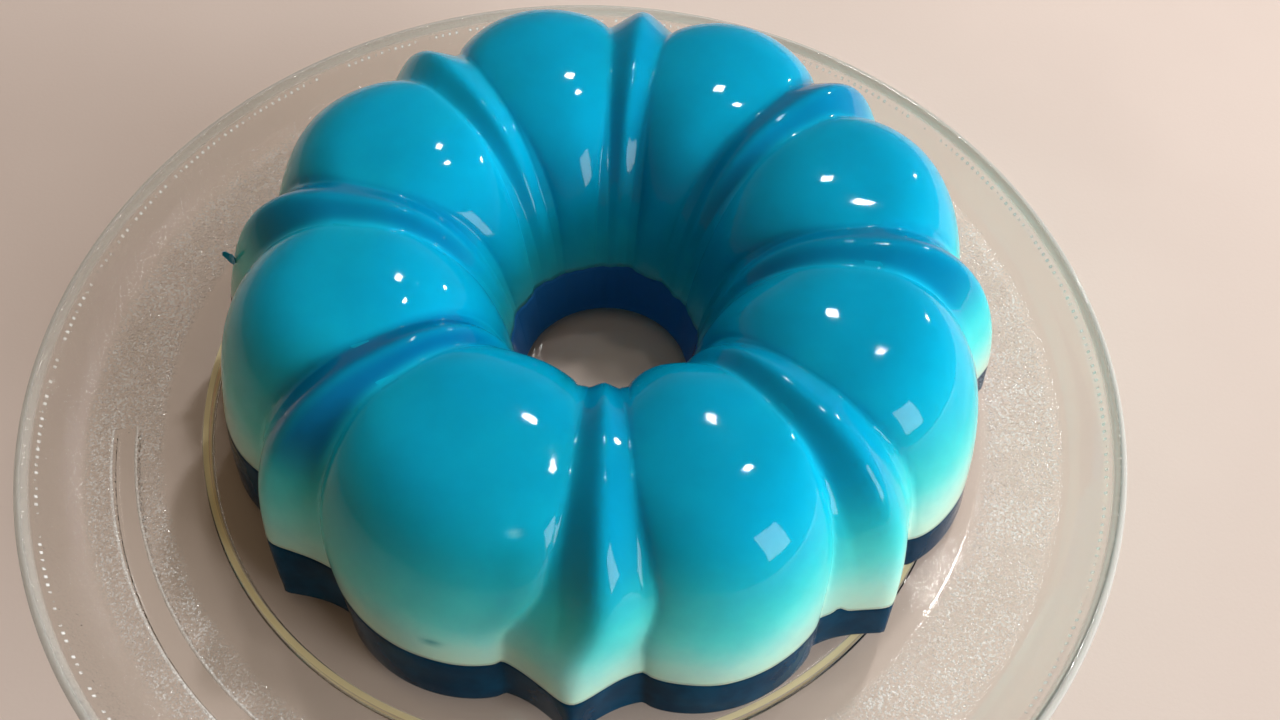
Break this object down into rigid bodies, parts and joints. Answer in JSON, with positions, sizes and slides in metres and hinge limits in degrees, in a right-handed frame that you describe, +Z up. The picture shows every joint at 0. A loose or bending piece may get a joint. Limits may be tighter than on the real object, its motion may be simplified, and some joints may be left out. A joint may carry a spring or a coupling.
{
  "type": "moulded jelly on a glass plate",
  "caption": "Fluted ring-shaped blue milk jelly on a thin dark clear jelly layer, turned out on a round clear glass plate.",
  "frame": {"origin": "centre of the plate, at the level its foot ring stands on", "axes": "+Z up; +Y away from the front, +X to the right; the jelly sits slightly off centre towards +X and +Y"},
  "size_m": [0.3448, 0.3448, 0.0709],
  "materials": {
    "clear_glass": "clear polished glass, finely stippled in a wide band",
    "dark_jelly": "wet and glossy, nearly black clear jelly",
    "blue_milk_jelly": "wet and glossy opaque milk jelly, blue fading to cream-green at the foot"
  },
  "bodies": {
    "root": {"plate": "clear_glass", "dark_layer": "dark_jelly", "milk_layer": "blue_milk_jelly"}
  },
  "joints": []
}
